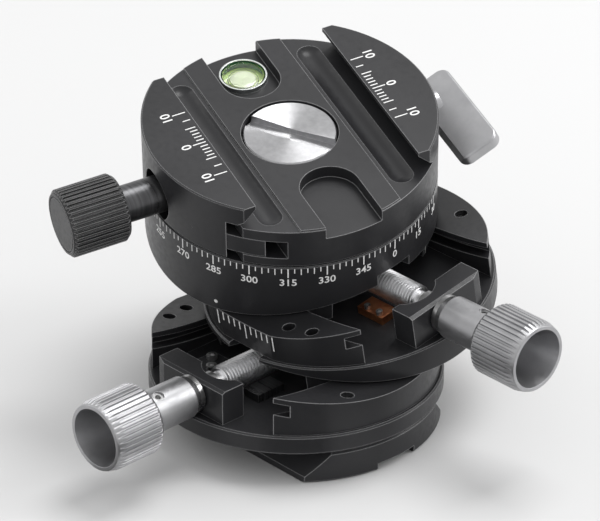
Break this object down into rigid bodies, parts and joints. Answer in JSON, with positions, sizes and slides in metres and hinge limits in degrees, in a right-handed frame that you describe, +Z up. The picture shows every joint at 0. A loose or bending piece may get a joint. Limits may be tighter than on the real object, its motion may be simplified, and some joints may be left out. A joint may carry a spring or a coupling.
{
  "type": "alt azimuth mount",
  "caption": "Two-axis geared levelling head: two crossed goniometer stages with worm drives and knobs, topped by a panning dovetail clamp with a bubble level.",
  "frame": {"origin": "centre of the foot's underside, at the mouth of the tripod thread", "axes": "+Z up, +X towards the upper knob, -Y towards the lower knob; both tilts at the end of their travel, clamp panned 18.5 degrees"},
  "size_m": [0.0976, 0.1014, 0.0668],
  "materials": {
    "black_anodised": "fine bead-blasted black anodising",
    "silver_aluminium": "satin clear anodising",
    "turned_aluminium": "turned, circular brushing",
    "worm_steel": "ground thread",
    "screw_steel": "plain",
    "black_steel": "blackened, turned",
    "bronze": "machined bearing bronze",
    "black_knob": "black anodised, fluted",
    "white_polymer": "PTFE",
    "level_case": "bright ring",
    "level_glass": "clear with green spirit"
  },
  "bodies": {
    "base": {"dovetail_foot": "black_anodised", "tripod_bush": "screw_steel", "foot_screws": "screw_steel", "base_plate": "black_anodised", "lower_worm_bracket": "black_anodised", "lower_worm_bush": "screw_steel", "lower_worm_end_block": "black_anodised", "lower_slide_pad": "black_steel", "lower_spacer_pad": "black_anodised", "lower_drive_screws": "screw_steel", "lower_rail_left": "black_anodised", "lower_rail_right": "black_anodised", "lower_rail_screws": "screw_steel"},
    "lower_drive": {"lower_worm_shaft": "worm_steel", "lower_knob_sleeve": "silver_aluminium", "lower_set_screw": "screw_steel", "lower_knob": "silver_aluminium"},
    "middle": {"middle_stage": "black_anodised", "lower_worm_rack": "bronze", "upper_worm_bracket": "black_anodised", "upper_worm_bush": "screw_steel", "upper_worm_end_block": "black_anodised", "upper_slide_pad": "bronze", "upper_drive_screws": "screw_steel", "upper_rail_left": "black_anodised", "upper_rail_right": "black_anodised", "upper_rail_screws": "screw_steel"},
    "upper_drive": {"upper_worm_shaft": "worm_steel", "upper_knob_sleeve": "silver_aluminium", "upper_set_screw": "screw_steel", "upper_knob": "silver_aluminium"},
    "carriage": {"pan_base": "black_anodised", "upper_worm_rack": "bronze", "pan_spindle": "screw_steel", "thrust_washer": "white_polymer", "centre_screw": "turned_aluminium", "retaining_washer": "screw_steel"},
    "clamp": {"clamp_body": "black_anodised", "clamp_nut": "bronze", "guide_pins": "screw_steel", "jaw_springs": "screw_steel", "pan_lock_shoe": "bronze", "level_case": "level_case", "level_vial": "level_glass"},
    "jaw": {"moving_jaw": "black_anodised"},
    "jaw_drive": {"clamp_screw": "screw_steel", "clamp_collar": "black_steel", "clamp_knob": "black_knob"},
    "lock": {"pan_lock_screw": "screw_steel", "pan_lever": "silver_aluminium"}
  },
  "joints": [
    {"name": "lower_tilt", "type": "hinge", "parent": "base", "child": "middle", "pos_m": [0, 0, 0.108], "axis": [1, 0, 0], "range_deg": [-20, 0]},
    {"name": "lower_worm_turn", "type": "hinge", "parent": "base", "child": "lower_drive", "pos_m": [0, -0.03, 0.0148], "axis": [0, -1, 0], "range_deg": [-3960, 40]},
    {"name": "upper_tilt", "type": "hinge", "parent": "middle", "child": "carriage", "pos_m": [0, -0.00211, 0.11997], "axis": [0, 0.9848, 0.1736], "range_deg": [-20, 0]},
    {"name": "upper_worm_turn", "type": "hinge", "parent": "middle", "child": "upper_drive", "pos_m": [0.03, 0.01407, 0.02818], "axis": [1, 0, 0], "range_deg": [-3960, 40]},
    {"name": "pan", "type": "hinge", "parent": "carriage", "child": "clamp", "pos_m": [-0.01218, 0.00989, 0.05193], "axis": [0.1736, -0.171, 0.9698], "continuous": true},
    {"name": "jaw_slide", "type": "slide", "parent": "clamp", "child": "jaw", "axis": [-0.3125, -0.9435, -0.1104], "range_m": [-0.0023, 0.003]},
    {"name": "jaw_knob_turn", "type": "hinge", "parent": "jaw", "child": "jaw_drive", "pos_m": [-0.02336, -0.0229, 0.04671], "axis": [-0.3125, -0.9435, -0.1104], "range_deg": [-840, 1090]},
    {"name": "pan_lock", "type": "hinge", "parent": "clamp", "child": "lock", "pos_m": [-0.00274, 0.03937, 0.054], "axis": [-0.3125, -0.9435, -0.1104], "range_deg": [-20, 75]}
  ],
  "couplings": [
    {"joint": "lower_worm_turn", "follows": "lower_tilt", "ratio": 195.2},
    {"joint": "upper_worm_turn", "follows": "upper_tilt", "ratio": 195.2},
    {"joint": "jaw_knob_turn", "follows": "jaw_slide", "rad_per_m": 6283.2}
  ]
}
